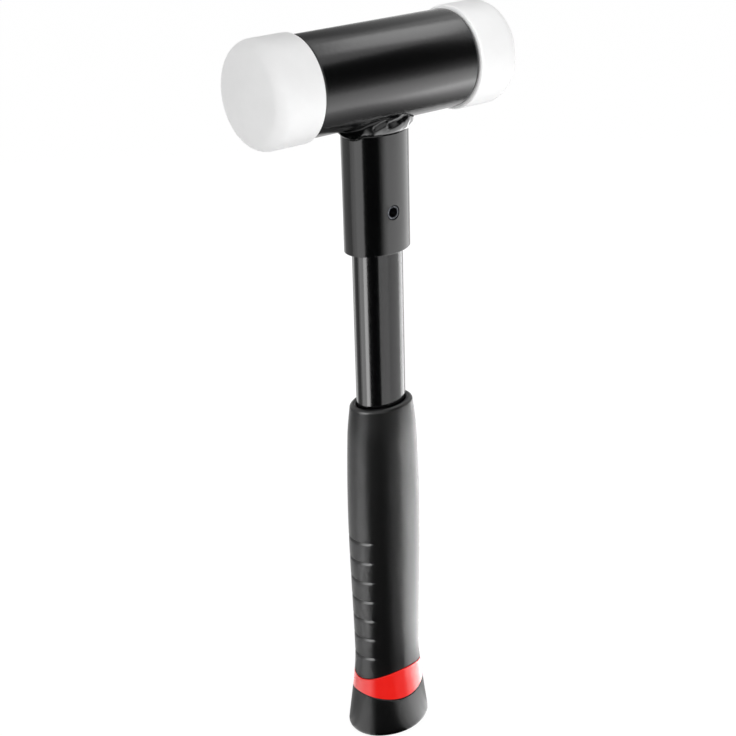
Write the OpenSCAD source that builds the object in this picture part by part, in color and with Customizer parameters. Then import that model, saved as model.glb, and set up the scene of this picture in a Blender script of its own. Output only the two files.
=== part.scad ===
// Dead blow hammer with two nylon striking faces.
// A steel head tube holds loose shot between two pressed cups, so that the shot follows a blow
// and takes away the rebound. An oval tube handle is pinned in a socket welded under the head,
// and a two-colour grip is moulded on its lower half.
// The hammer stands on its butt: +Z runs up the handle, +X along the head, +Y across it.

/* [Head] */
// Outside diameter of the head tube
head_od = 37.5; // [36:0.5:44]
// Length of the head tube
head_len = 73.5; // [66:0.5:90]
// Height of the head's axis above the butt
head_h = 286; // [270:1:330]
// Bore of the shot chamber
chamber_bore = 30; // [26:0.5:31]
// Radial step from the chamber to the wider seats at both ends
seat_step = 0.75; // [0.5:0.25:1.25]
// Chamfer on the ends of the head tube
head_chamfer = 0.5; // [0.2:0.1:1]

/* [Striking faces] */
// Diameter of a striking face
face_od = 40; // [38:0.5:46]
// How far a striking face stands out of the head
face_out = 21.5; // [16:0.5:30]
// Radius of the striking face's domed front
face_crown_r = 75; // [50:5:200]
// Radius of the edge between front and side
face_edge_r = 5.5; // [2:0.5:7]
// Chamfer at the back edge, next to the head tube
face_back_chamfer = 0.6; // [0.2:0.1:1.5]
// Length of the shank that is pressed into the head
shank_len = 11; // [8:0.5:13]

/* [Shot] */
// Diameter of one shot ball
shot_d = 5; // [4.5:0.25:7]
// Gap between neighbouring balls
shot_gap = 0.15; // [0.1:0.05:0.3]
// Way that the shot can slide along the head, from end to end
shot_travel = 10; // [6:1:14]
// Share of the chamber's height that the shot fills
shot_fill = 0.75; // [0.5:0.05:0.9]
// Height of a chamber plug, which is a pressed cup
plug_h = 5; // [4:0.5:6]
// Sheet thickness of a chamber plug
plug_t = 1.5; // [1:0.25:2.5]

/* [Socket] */
// Length of the socket below the head's lowest line
socket_len = 49.5; // [40:0.5:60]
// Wall of the socket
socket_wall = 2.9; // [2:0.1:4]
// Drop of the weld's lower edge below the head's lowest line
weld_drop = 2.4; // [1.5:0.1:4]
// Spread of the weld on the head, out from the socket
weld_spread = 2.1; // [1.5:0.1:4]
// Outward bulge of the weld bead
weld_bulge = 0.8; // [0.3:0.1:1.2]
// Number of ripples in the weld bead
weld_ripples = 18; // [10:1:24]

/* [Roll pin] */
// Outside diameter of the roll pin
pin_d = 6; // [4:0.5:7]
// Wall of the roll pin
pin_wall = 0.9; // [0.6:0.1:1.2]
// Height of the pin above the socket's lower edge
pin_up = 16.5; // [10:0.5:30]
// How far the pin's ends lie below the socket's surface
pin_sunk = 0.4; // [0.2:0.1:1]

/* [Handle tube] */
// Width of the oval handle tube, along the head
tube_w = 22.4; // [20:0.2:25]
// Depth of the oval handle tube
tube_d = 15; // [13:0.2:17]
// Radius of the tube's narrow edges
tube_edge_r = 5.4; // [4.8:0.1:6.2]
// Wall of the handle tube
tube_wall = 2; // [1.5:0.1:2.5]

/* [Grip] */
// Length of the grip
grip_len = 153.5; // [140:0.5:180]
// Thickness of the grip over the tube at its upper rim
neck_over = 2.7; // [2.5:0.1:4]
// Thickness over the tube below the upper rim
shoulder_over = 4.1; // [3.6:0.05:6]
// Drop of the shoulder below the upper rim
shoulder_drop = 14; // [10:1:20]
// Thickness over the tube where the palm holds the grip
swell_over = 4.95; // [4:0.05:7]
// Height of the swell above the butt
swell_h = 101; // [92:1:110]
// Thickness over the tube at the grip's waist
waist_over = 3.9; // [3.4:0.05:5]
// Height of the waist above the butt
waist_h = 42; // [38:1:50]
// Thickness over the tube where the grip starts to flare
flare_over = 4.15; // [3.6:0.05:6]
// Height above the butt where the flare starts
flare_h = 30; // [24:1:34]
// Thickness over the tube at the butt
butt_over = 7.7; // [6:0.1:10]
// Radius of the butt's lower edge
butt_edge_r = 2.5; // [1.5:0.5:4]
// Radius of the outer half of the lip at the grip's upper rim
rim_r = 1.4; // [0.8:0.1:1.8]

/* [Grip notches] */
// Number of finger notches on each narrow edge
notch_n = 7; // [3:1:7]
// Height of the lowest notch above the butt
notch_low_h = 38; // [36:0.5:44]
// Distance between notches
notch_pitch = 9.4; // [6:0.2:10]
// Depth of a notch
notch_depth = 0.8; // [0.3:0.1:1]
// Height of a notch's gentle lower flank
notch_lower = 1.7; // [1:0.1:2.5]
// Height of a notch's steep upper flank
notch_upper = 0.5; // [0.3:0.1:1]

/* [Grip band] */
// Height of the band's middle above the butt
band_h = 23.6; // [22:0.1:25]
// Height of the band on the narrow edges
band_edge = 6.6; // [5:0.1:9]
// Height of the band in the middle of the wide sides
band_side = 13.5; // [10:0.1:15]
// Wall of the core under the rubber
core_wall = 1.2; // [0.8:0.1:1.4]
// Depth of the groove on each side of the band
band_groove = 0.5; // [0.2:0.1:0.8]
// Distance from the grip's upper rim down to the core
core_drop = 6; // [3:0.5:10]
// Thickness of the rubber under the core
butt_floor = 5; // [4:0.5:8]
// Thickness of the core's closed lower end
core_floor = 3; // [2:0.5:5]

/* [Hidden] */
$fn = 96;

// Radial room of a pressed or slid fit
fit = 0.05;
// Room between the shot and the chamber's walls
shot_room = 0.3;
// Overshoot of a cut past the face that it opens
over = 1;
// Corners of a moulded grip section
sides = 48;
// Corners of the weld bead for each of its ripples
ripple_steps = 4;
// Gap that keeps the bead's flat facets out of the round surfaces that it lies on
weld_room = 0.05;
// Share of the bulge by which the ripples rise and fall
ripple_share = 0.45;
// Chamfer on the ends of the roll pin
pin_chamfer = 0.4;
// Width of the roll pin's slit
pin_slit = 0.8;
// Angle from the narrow edge's middle at which the notches start to run out, and where they end
notch_full = 36;
notch_end = 54;
// Distance from the handle tube's upper end to the head's lowest line
tube_top_gap = 4;

head_r = head_od / 2;
seat_bore = chamber_bore + 2 * seat_step;
seat_depth = shank_len + plug_h;
chamber_len = head_len - 2 * seat_depth;
face_r = face_od / 2;
head_low = head_h - head_r;
socket_bottom = head_low - socket_len;
socket_w = tube_w + 2 * (fit + socket_wall);
socket_d = tube_d + 2 * (fit + socket_wall);
socket_edge_r = tube_edge_r + fit + socket_wall;
pin_z = socket_bottom + pin_up;
core_bottom = butt_floor;
core_top = grip_len - core_drop;
tube_bottom = core_bottom + core_floor;
tube_top = head_low - tube_top_gap;
core_grow = fit + core_wall;
mouth_r = neck_over - fit - rim_r;

// Ovals of four arcs, tangent to each other: half width a, half depth b, narrow edge radius r.
// All three change by the same amount from one wall to the next, so walls stay even.

// Radius of the two wide arcs
function side_r(a, b, r) = (a * a + b * b - 2 * a * r) / (2 * (b - r));

// Direction, from the width's axis, in which a narrow arc meets a wide one
function joint_angle(a, b, r) = atan2(side_r(a, b, r) - b, a - r);

// Point of an oval whose outward normal has the direction t
function oval_point(a, b, r, t) =
    let (big = side_r(a, b, r), turn = joint_angle(a, b, r), s = abs(sin(t)), c = abs(cos(t)))
    let (wide = atan2(s, c) > turn)
    let (x = wide ? big * c : a - r + r * c, y = wide ? big * s - (big - b) : r * s)
    [x * sign(cos(t)), y * sign(sin(t))];

// Solid oval, full width w and depth d
module oval(w, d, r) {
    a = w / 2;
    b = d / 2;
    big = side_r(a, b, r);
    meet = big * (a - r) / (big - r);
    for (s = [-1, 1]) translate([s * (a - r), 0]) circle(r);
    intersection() {
        translate([0, b - big]) circle(big);
        translate([0, big - b]) circle(big);
        square([2 * meet, d + over], center = true);
    }
}

// The handle tube's oval, grown on all sides
module tube_oval(grow = 0) {
    oval(tube_w + 2 * grow, tube_d + 2 * grow, tube_edge_r + grow);
}

// Places children with their +Z along the head's axis, to the right or to the left
module along_head(dir = 1) {
    translate([0, 0, head_h]) rotate([0, 90 * dir, 0]) children();
}

// Head and striking faces

module head_tube() {
    half = head_len / 2;
    color("#26282a") along_head() rotate_extrude() difference() {
        translate([0, -half]) polygon([
            [0, 0], [head_r - head_chamfer, 0], [head_r, head_chamfer],
            [head_r, head_len - head_chamfer], [head_r - head_chamfer, head_len], [0, head_len]]);
        translate([0, -half - over]) square([chamber_bore / 2, head_len + 2 * over]);
        for (z = [-half - over, half - seat_depth])
            translate([0, z]) square([seat_bore / 2, seat_depth + over]);
    }
}

// Outline of a striking face, with its shoulder at height 0 and its shank below.
// The edge arc runs tangent into the side and into the domed front.
module face_outline() {
    dome = face_out - face_crown_r;
    edge_x = face_r - face_edge_r;
    edge_z = dome + sqrt(pow(face_crown_r - face_edge_r, 2) - pow(edge_x, 2));
    reach = 2 * face_crown_r / (face_crown_r - face_edge_r);
    translate([0, -shank_len]) square([seat_bore / 2 - fit, shank_len + over]);
    polygon([[0, 0], [face_r - face_back_chamfer, 0], [face_r, face_back_chamfer],
        [face_r, edge_z], [0, edge_z]]);
    translate([edge_x, edge_z]) circle(face_edge_r);
    intersection() {
        translate([0, dome]) circle(face_crown_r);
        polygon([[0, dome], [0, dome + reach * face_crown_r],
            [reach * edge_x, dome + reach * (edge_z - dome)]]);
        square([face_r, face_out + over]);
    }
}

module striking_face(dir) {
    color("#eef0ee") along_head(dir) translate([0, 0, head_len / 2]) rotate_extrude() face_outline();
}

module left_striking_face() striking_face(-1);
module right_striking_face() striking_face(1);

// Pressed cup with its floor on the shot's side, set on the step at the end of the chamber
module chamber_plug(dir) {
    cup_r = seat_bore / 2 - fit;
    color("#9a9c9e") along_head(dir) translate([0, 0, chamber_len / 2]) difference() {
        cylinder(h = plug_h, r = cup_r);
        translate([0, 0, plug_t]) cylinder(h = plug_h, r = cup_r - plug_t);
    }
}

module left_chamber_plug() chamber_plug(-1);
module right_chamber_plug() chamber_plug(1);

// Charge of balls, lying on the chamber's floor in staggered rows, one slice behind the other
module steel_shot() {
    pitch = shot_d + shot_gap;
    row_h = pitch * sqrt(3) / 2;
    reach = (chamber_bore - shot_d) / 2 - shot_room;
    top = -chamber_bore / 2 + shot_fill * chamber_bore - shot_d / 2;
    slices = floor((chamber_len - shot_travel - 2 * shot_room - shot_d) / pitch) + 1;
    rows = floor((top + reach) / row_h);
    most = ceil(chamber_bore / pitch);
    color("#b4b6b8") for (i = [0 : slices - 1], j = [0 : rows], k = [-most : most]) {
        x = (i - (slices - 1) / 2) * pitch;
        y = (k + (j % 2) / 2) * pitch;
        z = j * row_h - reach;
        if (norm([y, z]) <= reach + shot_room / 100)
            translate([x, y, head_h + z]) sphere(d = shot_d);
    }
}

// Socket, weld and pin

module handle_socket() {
    color("#242628") difference() {
        translate([0, 0, socket_bottom]) linear_extrude(head_h - socket_bottom)
            tube_oval(fit + socket_wall);
        translate([0, 0, socket_bottom - over]) linear_extrude(head_h - socket_bottom + 2 * over)
            tube_oval(fit);
        along_head() cylinder(h = head_len, r = head_r, center = true);
        pin_hole();
    }
}

// Cross hole for the roll pin, through socket and tube
module pin_hole() {
    translate([0, 0, pin_z]) rotate([90, 0, 0])
        cylinder(h = socket_d + 2 * over, d = pin_d, center = true);
}

// Height of the head tube's underside over the line y, less the bead's room
function head_under(y) = head_h - sqrt(pow(head_r + weld_room, 2) - y * y);

// One rib of the bead, square to the socket: the bulging skin from the socket to the head, then
// back along the head's underside to the corner at the socket's wall
function weld_rib(t) =
    let (n = [cos(t), sin(t)], a = socket_w / 2 + weld_room, b = socket_d / 2 + weld_room)
    let (p = oval_point(a, b, socket_edge_r + weld_room, t))
    let (roots = [for (s = [1, 0.5, 0]) [s * weld_spread, head_under((p + s * weld_spread * n)[1])]])
    let (foot = [0, head_low - weld_drop], along = roots[0] - foot)
    let (bulge = weld_bulge * (1 + ripple_share * cos(weld_ripples * t)))
    let (out = bulge * [along[1], -along[0]] / norm(along))
    let (skin = [for (s = [0, 0.25, 0.5, 0.75]) foot + s * along + sin(180 * s) * out])
    [for (q = concat(skin, roots)) [each (p + q[0] * n), q[1]]];

// The fillet weld that follows the saddle between socket and head
module socket_weld() {
    count = weld_ripples * ripple_steps;
    color("#1c1d1f") ring_solid([for (k = [0 : count - 1]) weld_rib(360 * k / count)]);
}

// Spring pin, rolled from sheet, so that it has a bore and a slit
module roll_pin() {
    r = pin_d / 2;
    bore_r = r - pin_wall;
    len = socket_d - 2 * pin_sunk;
    color("#8a8c8e") translate([0, 0, pin_z]) rotate([90, 0, 0]) translate([0, 0, -len / 2]) difference() {
        rotate_extrude() polygon([[bore_r, 0], [r - fit - pin_chamfer, 0], [r - fit, pin_chamfer],
            [r - fit, len - pin_chamfer], [r - fit - pin_chamfer, len], [bore_r, len]]);
        translate([-pin_slit / 2, 0, -over]) cube([pin_slit, pin_d, len + 2 * over]);
    }
}

module handle_tube() {
    color("#2c2e31") difference() {
        translate([0, 0, tube_bottom]) linear_extrude(tube_top - tube_bottom) tube_oval();
        translate([0, 0, tube_bottom - over]) linear_extrude(tube_top - tube_bottom + 2 * over)
            tube_oval(-tube_wall);
        pin_hole();
    }
}

// Moulded grip

// Thicknesses of the grip over the tube at the heights that shape it
grip_keys = [[0, butt_over], [flare_h, flare_over], [waist_h, waist_over], [swell_h, swell_over],
    [grip_len - shoulder_drop, shoulder_over], [grip_len, neck_over]];
last_key = len(grip_keys) - 1;

// Slope of the grip's side at a key, from its neighbours
function key_slope(i) =
    let (low = grip_keys[max(i - 1, 0)], high = grip_keys[min(i + 1, last_key)])
    (high[1] - low[1]) / (high[0] - low[0]);

// Thickness of the grip at height h, on a smooth curve through the keys
function grip_over(h) =
    let (i = max([for (j = [0 : last_key - 1]) if (h >= grip_keys[j][0] || j == 0) j]))
    let (p = grip_keys[i], q = grip_keys[i + 1], span = q[0] - p[0], s = (h - p[0]) / span)
    let (rise = s * s * (3 - 2 * s), out = s * (1 - s) * (1 - s), back = s * s * (s - 1))
    p[1] + rise * (q[1] - p[1]) + span * (out * key_slope(i) + back * key_slope(i + 1));

// Point at height h and direction t, at a distance out from the handle tube
function over_tube(h, t, out) =
    [each oval_point(tube_w / 2 + out, tube_d / 2 + out, tube_edge_r + out, t), h];

// Point on the grip's skin at height h and direction t, drawn in by a depth
function skin_point(h, t, depth = 0) = over_tube(h, t, grip_over(h) - depth);

// Point on the core's wall, or with a negative grow on a wall inside it
function core_point(h, t, grow = 0) = over_tube(h, t, core_grow + grow);

// Directions of a section's corners
section = [for (k = [0 : sides - 1]) 360 * k / sides];

// Depth of the notches at height h: a steep flank above each notch line and a gentle one below
function notch_at(h) = notch_depth * max([for (i = [0 : notch_n - 1])
    let (d = h - notch_low_h - i * notch_pitch) max(0, 1 - (d > 0 ? d / notch_upper : -d / notch_lower))]);

// Share of a notch's depth in direction t, full on the narrow edges and none on the wide sides
function notch_share(t) =
    let (away = atan2(abs(sin(t)), abs(cos(t))), s = (notch_end - away) / (notch_end - notch_full))
    max(0, min(1, s));

// Share of the band's extra height in direction t: none on the narrow edges, all on the wide sides
function band_share(t) = pow(skin_point(band_h, t)[1] / skin_point(band_h, 90)[1], 2);

// Heights of the band's upper and lower line in direction t
function band_line(t, dir) = band_h + dir * (band_edge + (band_side - band_edge) * band_share(t)) / 2;

// Closed solid from rings of points that follow each other round to the first one again
module ring_solid(rings) {
    n = len(rings);
    m = len(rings[0]);
    faces = [for (i = [0 : n - 1], k = [0 : m - 1])
        let (a = i * m + k, b = i * m + (k + 1) % m, c = (i + 1) % n * m + (k + 1) % m, d = (i + 1) % n * m + k)
        each [[a, b, c], [a, c, d]]];
    polyhedron([for (r = rings) each r], faces);
}

// Closed cup from rings of points, with a flat end on the first ring and on the last one
module cup_solid(rings) {
    n = len(rings);
    m = len(rings[0]);
    faces = [for (i = [0 : n - 2], k = [0 : m - 1])
        let (a = i * m + k, b = i * m + (k + 1) % m, c = b + m, d = a + m)
        each [[a, c, b], [a, d, c]]];
    ends = [[for (k = [0 : m - 1]) k], [for (k = [m - 1 : -1 : 0]) (n - 1) * m + k]];
    polyhedron([for (r = rings) each r], concat(faces, ends));
}

// Red core on the tube, closed below, with the band that shows between the two rubber parts
module grip_core() {
    steps = [0, 0.25, 0.5, 0.75, 1];
    band = [for (s = steps) [for (t = section)
        skin_point(band_line(t, -1) + s * (band_line(t, 1) - band_line(t, -1)), t)]];
    rings = concat(
        [[for (t = section) core_point(core_bottom, t)]],
        [[for (t = section) core_point(band_line(t, -1), t)]],
        band,
        [[for (t = section) core_point(band_line(t, 1), t)]],
        [[for (t = section) core_point(core_top, t)]],
        [[for (t = section) core_point(core_top, t, -core_wall)]],
        [[for (t = section) core_point(tube_bottom, t, -core_wall)]]);
    color("#e0281e") cup_solid(rings);
}

// Heights of the sleeve's rings, at the corners of each notch and evenly between them
notch_heights = [for (i = [0 : notch_n - 1])
    let (h = notch_low_h + i * notch_pitch)
    each [h - notch_pitch / 2, h - notch_lower, h, h + notch_upper]];
plain_from = notch_low_h + (notch_n - 1) * notch_pitch + notch_pitch / 2;
plain_rings = 12;
plain_heights = [for (i = [0 : plain_rings])
    plain_from + i * (grip_len - rim_r - plain_from) / plain_rings];

// The same list from its end to its start
function reverse(list) = [for (i = [len(list) - 1 : -1 : 0]) list[i]];

// Rubber sleeve from the band to the rim, with notches on both narrow edges.
// Above the core it closes on the tube, and its lip is round outside and inside.
module grip_sleeve() {
    low = notch_heights[0];
    groove = [for (t = section) skin_point(band_line(t, 1) + fit, t, band_groove)];
    start = [for (t = section) skin_point(band_line(t, 1) + fit + band_groove, t)];
    easing = [for (s = [0.35, 0.7]) [for (t = section)
        skin_point(band_line(t, 1) + s * (low - band_line(t, 1)), t)]];
    side = [for (h = concat(notch_heights, plain_heights)) [for (t = section)
        skin_point(h, t, notch_at(h) * notch_share(t))]];
    lip = [for (u = [30, 60, 90]) [for (t = section)
        skin_point(grip_len - rim_r + rim_r * sin(u), t, rim_r * (1 - cos(u)))]];
    foot = [for (t = section) core_point(band_line(t, 1) + fit, t, fit)];
    shelf = [for (out = [core_grow + fit, fit]) [for (t = section) over_tube(core_top + fit, t, out)]];
    mouth = [for (u = [90, 60, 30]) [for (t = section)
        over_tube(grip_len - mouth_r * (1 - cos(u)), t, fit + mouth_r * (1 - sin(u)))]];
    color("#2b2c2d") ring_solid(concat([foot], shelf, mouth, reverse(lip), reverse(side),
        reverse(easing), [start, groove]));
}

// Rubber butt under the band, with a flat foot
module grip_butt() {
    corner = [for (u = [0, 30, 60, 90]) [for (t = section)
        skin_point(butt_edge_r * (1 - sin(u)), t, butt_edge_r * (1 - cos(u)))]];
    flare = [for (s = [0.35, 0.7]) [for (t = section)
        skin_point(butt_edge_r + s * (band_line(t, -1) - butt_edge_r), t)]];
    end = [for (t = section) skin_point(band_line(t, -1) - fit - band_groove, t)];
    groove = [for (t = section) skin_point(band_line(t, -1) - fit, t, band_groove)];
    mouth = [for (t = section) core_point(band_line(t, -1) - fit, t, fit)];
    floor_ring = [for (t = section) core_point(core_bottom, t, fit)];
    color("#2b2c2d") cup_solid(concat(reverse(corner), flare, [end, groove, mouth, floor_ring]));
}

head_tube();
left_striking_face();
right_striking_face();
left_chamber_plug();
right_chamber_plug();
steel_shot();
handle_socket();
socket_weld();
roll_pin();
handle_tube();
grip_core();
grip_sleeve();
grip_butt();
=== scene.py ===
# Looks of the dead blow hammer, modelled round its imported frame.
# Pieces are modelled in millimetres, in the frame's axes, and become metres when they are finished.
# The studio and its lamps are in metres.

import math

import bmesh
import bpy
from mathutils import Matrix, Vector, geometry, noise


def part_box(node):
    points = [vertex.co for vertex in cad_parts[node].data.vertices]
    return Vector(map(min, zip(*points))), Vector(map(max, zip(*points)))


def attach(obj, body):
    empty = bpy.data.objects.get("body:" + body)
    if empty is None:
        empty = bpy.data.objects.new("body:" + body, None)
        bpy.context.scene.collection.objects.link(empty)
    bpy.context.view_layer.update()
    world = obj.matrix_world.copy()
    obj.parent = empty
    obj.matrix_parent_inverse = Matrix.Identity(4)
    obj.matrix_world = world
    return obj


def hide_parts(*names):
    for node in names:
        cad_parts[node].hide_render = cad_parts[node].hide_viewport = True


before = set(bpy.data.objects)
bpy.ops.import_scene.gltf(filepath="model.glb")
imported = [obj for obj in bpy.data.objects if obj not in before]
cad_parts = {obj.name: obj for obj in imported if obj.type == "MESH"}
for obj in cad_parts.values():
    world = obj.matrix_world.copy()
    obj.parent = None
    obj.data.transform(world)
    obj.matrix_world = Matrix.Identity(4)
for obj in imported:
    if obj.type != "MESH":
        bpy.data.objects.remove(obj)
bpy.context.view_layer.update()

MM = 0.001
FULL_TURN = 2 * math.pi
QUARTER = math.pi / 2


# Sizes that the frame gives

def node_box(node):
    """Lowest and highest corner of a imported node, in millimetres."""
    low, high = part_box(node)
    return low / MM, high / MM


head_low, head_high = node_box("head_tube")
face_low, face_high = node_box("right_striking_face")
plug_low, plug_high = node_box("right_chamber_plug")
shot_low, shot_high = node_box("steel_shot")
socket_low, socket_high = node_box("handle_socket")
pin_low, pin_high = node_box("roll_pin")
tube_low, tube_high = node_box("handle_tube")
core_low, core_high = node_box("grip_core")
sleeve_high = node_box("grip_sleeve")[1]

# Radial room of a pressed or slid fit
FIT = 0.05

HEAD_R = (head_high.z - head_low.z) / 2
HEAD_H = (head_high.z + head_low.z) / 2
HEAD_END = head_high.x
FACE_R = (face_high.z - face_low.z) / 2
FACE_TIP = face_high.x
SHANK_END = face_low.x
PLUG_R = plug_high.y
PLUG_FLOOR = plug_low.x
PLUG_MOUTH = plug_high.x
SEAT_R = PLUG_R + FIT
SOCKET_LOW = socket_low.z
PIN_Z = (pin_low.z + pin_high.z) / 2
PIN_R = pin_high.x
PIN_END = pin_high.y
TUBE_HALF_W = tube_high.x
TUBE_HALF_D = tube_high.y
TUBE_LOW = tube_low.z
TUBE_TOP = tube_high.z
SOCKET_OVER = socket_high.x - TUBE_HALF_W
CORE_LOW = core_low.z
CORE_TOP = core_high.z
GRIP_TOP = sleeve_high.z

# Sizes as in the part's source

# Head, striking faces, plugs and shot
SEAT_STEP = 0.75
FACE_CROWN_R = 75
FACE_EDGE_R = 5.5
FACE_BACK_CHAMFER = 0.6
PLUG_SHEET = 1.5
SHOT_D = 5
SHOT_GAP = 0.15
SHOT_ROOM = 0.3
SHOT_FILL = 0.75

# Handle tube and roll pin
TUBE_EDGE_R = 5.4
TUBE_WALL = 2
PIN_WALL = 0.9
PIN_CHAMFER = 0.4
PIN_SLIT = 0.8

# Weld bead
WELD_DROP = 2.4
WELD_SPREAD = 2.1
WELD_ROOM = 0.05

# Thickness of the grip over the tube, at heights above the butt's foot
SHOULDER_DROP = 14
GRIP_KEYS = [(0, 7.7), (30, 4.15), (42, 3.9), (101, 4.95),
             (GRIP_TOP - SHOULDER_DROP, 4.1), (GRIP_TOP, 2.7)]
RIM_R = 1.4
MOUTH_R = GRIP_KEYS[-1][1] - FIT - RIM_R
BUTT_EDGE_R = 2.5
CORE_WALL = 1.2
CORE_OVER = FIT + CORE_WALL

# Finger notches and band
NOTCH_COUNT = 7
NOTCH_LOW = 38
NOTCH_PITCH = 9.4
NOTCH_DEPTH = 0.8
NOTCH_LOWER = 1.7
NOTCH_FULL = math.radians(36)
NOTCH_END = math.radians(54)
BAND_H = 23.6
BAND_EDGE = 6.6
BAND_SIDE = 13.5
BAND_GROOVE = 0.5

# Small forms that only the looks have, or have in another size than the part's source

HEAD_EDGE_R = 1.7
PLUG_BEND_R = 1.8
SOCKET_EDGE_R = 0.5
TUBE_END_R = 0.3
NOTCH_UPPER = 0.15
NOTCH_FADE = 1.8
NOTCH_ROUNDING = [-0.1, -0.05, 0, 0.05, 0.1]

# The weld's swelling, its sags on the narrow edges and the thin toe along its foot
WELD_BULGE = 0.95
WELD_FULLNESS = 0.5
WELD_SAG = 1.35
SAG_REACH = 3.9
SAG_FULLNESS = 0.7
SAG_PLACES = [math.radians(25), math.radians(205)]
TOE_H = 0.45
TOE_TOP = TOE_H / 4
TOE_LIFT = 0.12

# The weld's lumps: their size, and their height as a share of the swelling
LUMP_SIZE = 3.8
LUMP_SHARE = 0.6
PIMPLE_SIZE = 1.7
PIMPLE_SHARE = 0.12

# Creases between the passes of the weld: from and to a direction in degrees and a share of the bead's
# height, then the crease's width and depth
WELD_CREASES = [(246, 0.63, 257, 0.8, 0.7, 1.0), (263, 0.57, 286, 0.93, 0.9, 1.5),
                (60, 0.5, 74, 0.85, 0.8, 1.1), (92, 0.45, 108, 0.9, 0.8, 1.2)]

# Steps of the meshes

TURNED_STEPS = 160
ARC_STEPS = 6
OVAL_STEPS = 160
BALL_SEGMENTS = 24
BALL_RINGS = 14
PIN_STEPS = 48
WELD_STEPS = 432
BEAD_STEPS = 16
GRIP_STEPS = 160
EASING_STEPS = 12
BAND_STEPS = 12
FLARE_STEPS = 14

# Cells from the pin hole's middle to the edge of the block that is opened for it, the block's half
# height as a share of the pin's radius, and the same with some room, to find the block again
HOLE_CELLS = 6
HOLE_BLOCK = 1.4
HOLE_SEARCH = 1.5

# Height between the sleeve's rings, close at the notches and wide elsewhere, and how far the close
# rings reach past a notch
CLOSE_RINGS = 0.1
WIDE_RINGS = 1.5
CLOSE_BELOW = 0.4
CLOSE_ABOVE = 0.3

# Where rings start: under the round of the rim, and as shares of the stretch that they divide
RIM_START = 0.2
EASING_START = 0.1
BAND_START = 0.05
FLARE_START = 0.06

# Corners closer than this are merged, and this much is forgiven when two lengths are compared
MERGE = 0.001
ROUND_OFF = 0.003


# Tools of the workbench

def make_piece(name, bm, nodes, finish, body="hammer", crease=35):
    """Closes a modelled piece, makes it metres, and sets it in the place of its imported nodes."""
    bmesh.ops.remove_doubles(bm, verts=bm.verts, dist=MERGE)
    bmesh.ops.recalc_face_normals(bm, faces=bm.faces)
    bmesh.ops.scale(bm, vec=(MM, MM, MM), verts=bm.verts)
    mesh = bpy.data.meshes.new(name)
    bm.to_mesh(mesh)
    bm.free()
    mesh.shade_smooth()
    mesh.set_sharp_from_angle(angle=math.radians(crease))
    mesh.materials.append(finish)
    piece = bpy.data.objects.new(name, mesh)
    bpy.context.scene.collection.objects.link(piece)
    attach(piece, body)
    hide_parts(*nodes)
    return piece


def line_to(bm, tip, across, along):
    """Draws a profile on to a new corner, and returns that corner."""
    corner = bmesh.ops.extrude_vert_indiv(bm, verts=[tip])["verts"][0]
    corner.co = (across, 0, along)
    return corner


def arc_to(bm, tip, centre, angle, steps):
    """Draws a profile on along an arc, from +Z towards +X for a positive angle."""
    middle = (centre[0], 0, centre[1])
    drawn = bmesh.ops.spin(bm, geom=[tip], cent=middle, axis=(0, 1, 0), angle=angle, steps=steps)
    return next(part for part in drawn["geom_last"] if isinstance(part, bmesh.types.BMVert))


def turn_profile(bm, steps):
    """Turns the drawn profile round the Z axis into a closed form."""
    outline = list(bm.verts) + list(bm.edges)
    bmesh.ops.spin(bm, geom=outline, cent=(0, 0, 0), axis=(0, 0, 1), angle=FULL_TURN, steps=steps,
                   use_merge=True)


def lay_along_head(bm, side):
    """Lays a turned form along the head's axis, with its +Z to the right (1) or to the left (-1)."""
    turned = Matrix.Rotation(side * QUARTER, 4, "Y")
    bmesh.ops.transform(bm, matrix=Matrix.Translation((0, 0, HEAD_H)) @ turned, verts=bm.verts)


def oval_loop(bm, count):
    """A closed loop of edges whose corners remember the direction in which their skin faces."""
    direction = bm.verts.layers.float.new("direction")
    for corner in bmesh.ops.create_circle(bm, segments=count, radius=1)["verts"]:
        corner[direction] = math.atan2(corner.co.y, corner.co.x)
    return list(bm.edges)


def loft(bm, loop, rings):
    """Draws a loop through rings, which place a corner by its direction; returns the last loop."""
    direction = bm.verts.layers.float["direction"]
    corners = {corner for edge in loop for corner in edge.verts}
    for number, ring in enumerate(rings):
        if number:
            drawn = bmesh.ops.extrude_edge_only(bm, edges=loop)["geom"]
            corners = {part for part in drawn if isinstance(part, bmesh.types.BMVert)}
            loop = [part for part in drawn if isinstance(part, bmesh.types.BMEdge)
                    and corners.issuperset(part.verts)]
        for corner in corners:
            corner.co = ring(corner[direction])
    return loop


def loft_closed(bm, count, rings):
    """Lofts rings into a hollow form whose last ring joins its first."""
    loop = oval_loop(bm, count)
    first = list(loop)
    last = loft(bm, loop, rings)
    bmesh.ops.bridge_loops(bm, edges=first + last)


def loft_capped(bm, count, rings):
    """Lofts rings into a form with a flat cap on its first and its last ring."""
    loop = oval_loop(bm, count)
    bmesh.ops.contextual_create(bm, geom=loop)
    bmesh.ops.contextual_create(bm, geom=loft(bm, loop, rings))


def steps_between(start, end, count):
    """Even steps from start to end, both included."""
    return [start + (end - start) * step / count for step in range(count + 1)]


# Ovals of the handle

def oval_radii(over):
    """Half width, half depth, edge radius and side radius of the tube's oval, grown on all sides."""
    half_w, half_d, edge_r = TUBE_HALF_W + over, TUBE_HALF_D + over, TUBE_EDGE_R + over
    side_r = (half_w ** 2 + half_d ** 2 - 2 * half_w * edge_r) / (2 * (half_d - edge_r))
    return half_w, half_d, edge_r, side_r


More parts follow.
